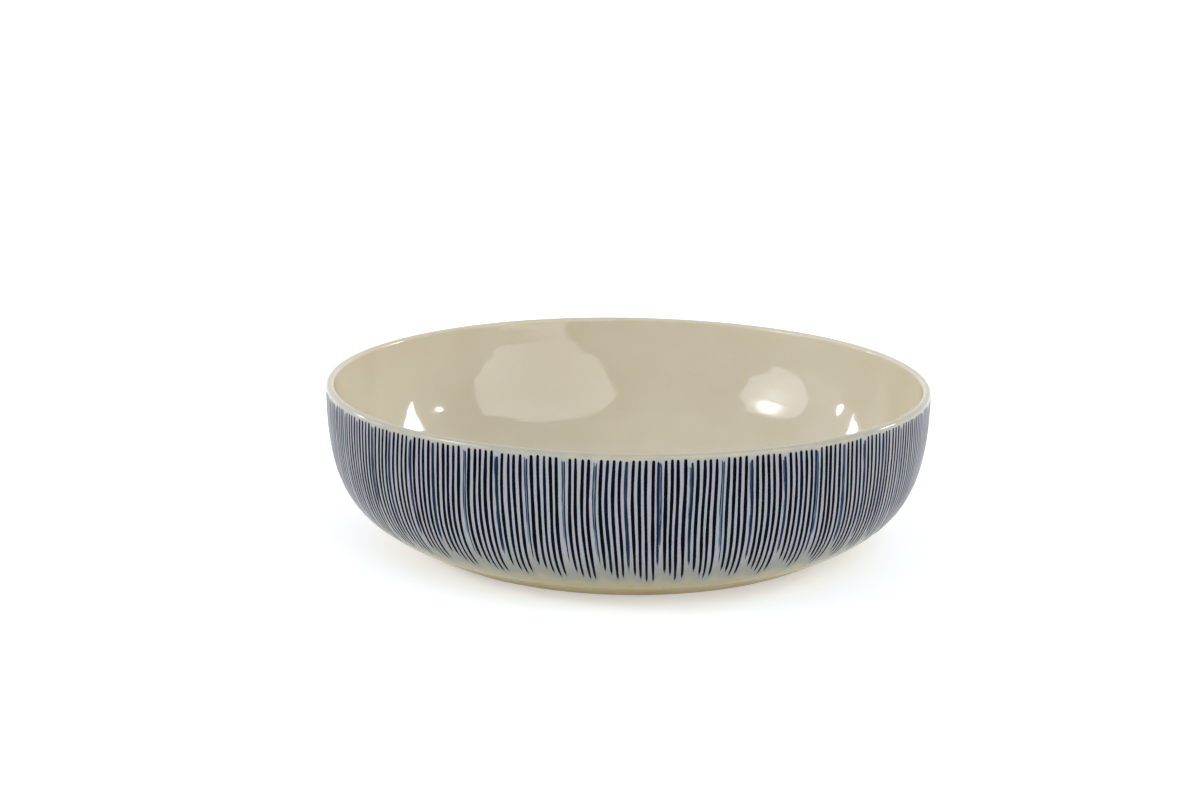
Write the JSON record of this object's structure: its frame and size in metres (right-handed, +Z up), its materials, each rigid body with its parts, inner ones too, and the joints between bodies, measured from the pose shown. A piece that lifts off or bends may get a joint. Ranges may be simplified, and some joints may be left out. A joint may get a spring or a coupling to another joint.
{
  "type": "serving bowl",
  "caption": "Wide, shallow porcelain serving bowl on a low foot ring, cream glazed inside, with fine upright dark blue brush strokes over a pale blue wash outside.",
  "frame": {"origin": "centre of the standing ring, on the surface that the bowl stands on", "axes": "+Z up along the bowl's axis of revolution, X and Y in the plane of the table; the bowl is alike all round"},
  "size_m": [0.3, 0.3, 0.0805],
  "materials": {
    "clay": "fired porcelain clay under the glaze, matt and fine-grained",
    "bare_foot": "unglazed standing ring, matt, a little toasted by the firing",
    "cream_glaze": "high gloss cream glaze with fine pinholes",
    "lip_glaze": "thin gloss glaze over the lip",
    "outer_cream_glaze": "gloss cream-olive glaze, darker towards the table",
    "pale_blue_wash": "pale grey-blue wash under gloss glaze",
    "dark_blue_strokes": "blue-black painted strokes with diluted edges under gloss glaze",
    "underside_glaze": "cream glaze in the hollow inside the foot ring"
  },
  "bodies": {
    "root": {"clay_body": "clay", "foot_ring": "bare_foot", "inner_glaze": "cream_glaze", "lip_glaze": "lip_glaze", "outer_glaze": "outer_cream_glaze", "blue_wash": "pale_blue_wash", "brush_strokes": "dark_blue_strokes", "underside_glaze": "underside_glaze"}
  },
  "joints": []
}
